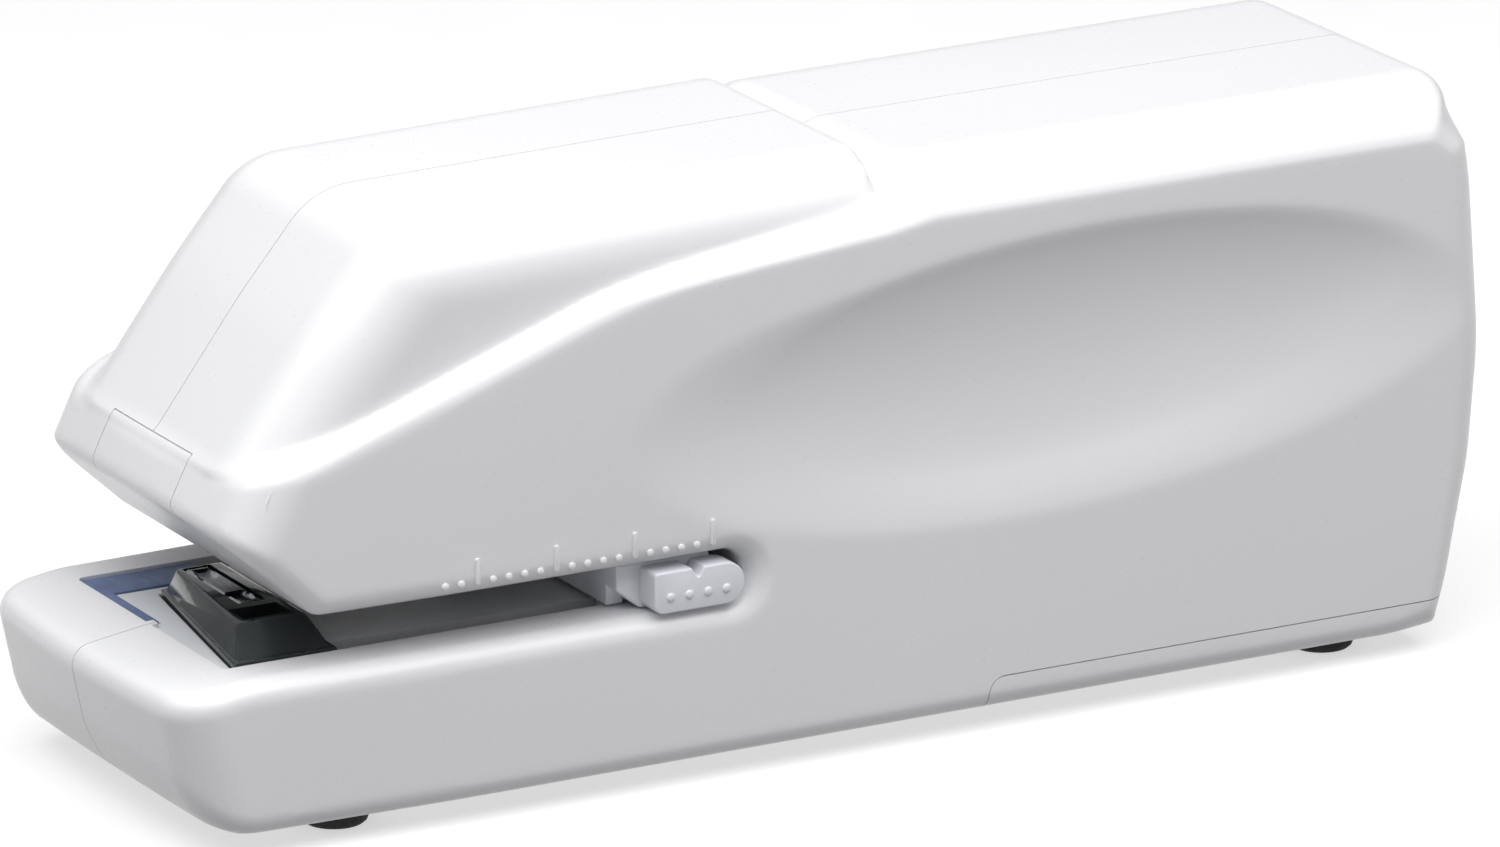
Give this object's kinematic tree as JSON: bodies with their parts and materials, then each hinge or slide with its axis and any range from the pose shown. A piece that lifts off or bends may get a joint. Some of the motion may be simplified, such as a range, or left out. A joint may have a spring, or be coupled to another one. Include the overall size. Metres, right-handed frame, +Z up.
{
  "type": "electric stapler",
  "caption": "Battery-driven desktop stapler: C-shaped white casing with a paper throat, sliding depth guide, front magazine drawer and motor-driven staple driver.",
  "frame": {"origin": "on the standing surface, below the middle of the bounding box", "axes": "+X to the rear, +Y to the left side of the stapler, +Z up"},
  "size_m": [0.1723, 0.053, 0.07],
  "materials": {
    "white_plastic": "satin off-white moulding",
    "dark_rubber": "matt",
    "screw_steel": "zinc plated",
    "smoky_plastic": "smoky dark moulding",
    "bright_steel": "bright",
    "blue_plastic": "matt",
    "light_plastic": "matt",
    "grey_steel": "plain pressed sheet",
    "satin_zinc": "dull zinc-coated sheet",
    "dark_steel": "blackened",
    "guide_plastic": "matt",
    "dark_plastic": "matt",
    "brass": "machined",
    "gear_plastic": "natural acetal",
    "board_green": "solder mask",
    "cell_jacket": "printed jacket without words"
  },
  "bodies": {
    "casing": {"anvil": "bright_steel", "battery_cell_1": "cell_jacket", "battery_cell_2": "cell_jacket", "battery_cell_3": "cell_jacket", "battery_cell_4": "cell_jacket", "battery_cell_5": "cell_jacket", "battery_cell_6": "cell_jacket", "battery_tray": "dark_plastic", "blue_strip": "blue_plastic", "board_components": "dark_plastic", "board_posts": "brass", "casing_screws": "screw_steel", "chassis_rods": "bright_steel", "circuit_board": "board_green", "contact_plates": "bright_steel", "contact_springs": "bright_steel", "front_feet": "dark_rubber", "front_plate": "light_plastic", "idler_axles": "bright_steel", "left_chassis_plate": "grey_steel", "left_shell": "white_plastic", "lever_pivot": "bright_steel", "microswitch": "dark_plastic", "motor_can": "grey_steel", "motor_end_cap": "dark_plastic", "motor_screws": "screw_steel", "paper_lever_pin": "bright_steel", "return_spring": "bright_steel", "right_chassis_plate": "grey_steel", "right_shell": "white_plastic", "table_bracket": "grey_steel", "table_frame": "smoky_plastic", "table_plate": "satin_zinc"},
    "battery_door": {"battery_cover": "white_plastic", "rear_feet": "dark_rubber"},
    "guide": {"depth_guide": "guide_plastic", "left_guide_knob": "guide_plastic", "right_guide_knob": "guide_plastic"},
    "magazine": {"nose_cap": "white_plastic", "magazine_tray": "dark_steel", "magazine_rail": "grey_steel", "staple_stick": "bright_steel", "pusher_spring": "bright_steel"},
    "pusher_body": {"pusher": "grey_steel"},
    "cam": {"cam_gear": "gear_plastic", "cam_disc": "grey_steel", "cam_shaft": "bright_steel"},
    "second_idler": {"second_idler_gear": "gear_plastic"},
    "first_idler": {"first_idler_gear": "gear_plastic"},
    "motor_rotor": {"motor_shaft": "bright_steel", "motor_pinion": "brass"},
    "lever": {"drive_lever": "grey_steel", "roller_pin": "bright_steel", "lever_tip_pin": "bright_steel"},
    "roller": {"cam_roller": "bright_steel"},
    "driver": {"driver_holder": "dark_steel", "driver_blade": "bright_steel"},
    "sensor_lever": {"paper_lever": "dark_plastic"}
  },
  "joints": [
    {"name": "battery_cover_slide", "type": "slide", "parent": "casing", "child": "battery_door", "axis": [1, 0, 0], "range_m": [0, 0.066]},
    {"name": "depth_guide_slide", "type": "slide", "parent": "casing", "child": "guide", "axis": [1, 0, 0], "range_m": [-0.0315, 0.0004]},
    {"name": "magazine_slide", "type": "slide", "parent": "casing", "child": "magazine", "axis": [-1, 0, 0], "range_m": [0, 0.071]},
    {"name": "pusher_slide", "type": "slide", "parent": "magazine", "child": "pusher_body", "axis": [1, 0, 0], "range_m": [0, 0.012], "stiffness_N_per_m": 60, "springref_m": -0.01, "deforming": ["pusher_spring"]},
    {"name": "cam_turn", "type": "hinge", "parent": "casing", "child": "cam", "pos_m": [-0.028, 0, 0.0545], "axis": [0, 1, 0], "range_deg": [0, 175]},
    {"name": "second_idler_turn", "type": "hinge", "parent": "casing", "child": "second_idler", "pos_m": [-0.01313, 0, 0.05254], "axis": [0, 1, 0], "range_deg": [-554.18, 0]},
    {"name": "first_idler_turn", "type": "hinge", "parent": "casing", "child": "first_idler", "pos_m": [0.00234, 0, 0.05051], "axis": [0, 1, 0], "range_deg": [0, 1847.23]},
    {"name": "motor_turn", "type": "hinge", "parent": "casing", "child": "motor_rotor", "pos_m": [0.01734, 0, 0.05051], "axis": [0, 1, 0], "range_deg": [-7388.99, 0]},
    {"name": "lever_swing", "type": "hinge", "parent": "casing", "child": "lever", "pos_m": [0, 0, 0.043], "axis": [0, 1, 0], "range_deg": [-9.85, 0]},
    {"name": "roller_turn", "type": "hinge", "parent": "lever", "child": "roller", "pos_m": [-0.028, 0, 0.0466], "axis": [0, 1, 0], "continuous": true},
    {"name": "driver_slide", "type": "slide", "parent": "casing", "child": "driver", "axis": [0, 0, -1], "range_m": [0, 0.0105]},
    {"name": "paper_lever_swing", "type": "hinge", "parent": "casing", "child": "sensor_lever", "pos_m": [-0.05, 0.014, 0.0306], "axis": [0, 1, 0], "range_deg": [-62, 0], "stiffness_Nm_per_rad": 0.002, "springref_deg": 11.46}
  ],
  "couplings": [
    {"joint": "second_idler_turn", "follows": "cam_turn", "ratio": -3.1667},
    {"joint": "first_idler_turn", "follows": "cam_turn", "ratio": 10.556},
    {"joint": "motor_turn", "follows": "cam_turn", "ratio": -42.222},
    {"joint": "lever_swing", "follows": "cam_turn", "ratio": -0.056218},
    {"joint": "driver_slide", "follows": "cam_turn", "m_per_rad": 0.0034377}
  ]
}
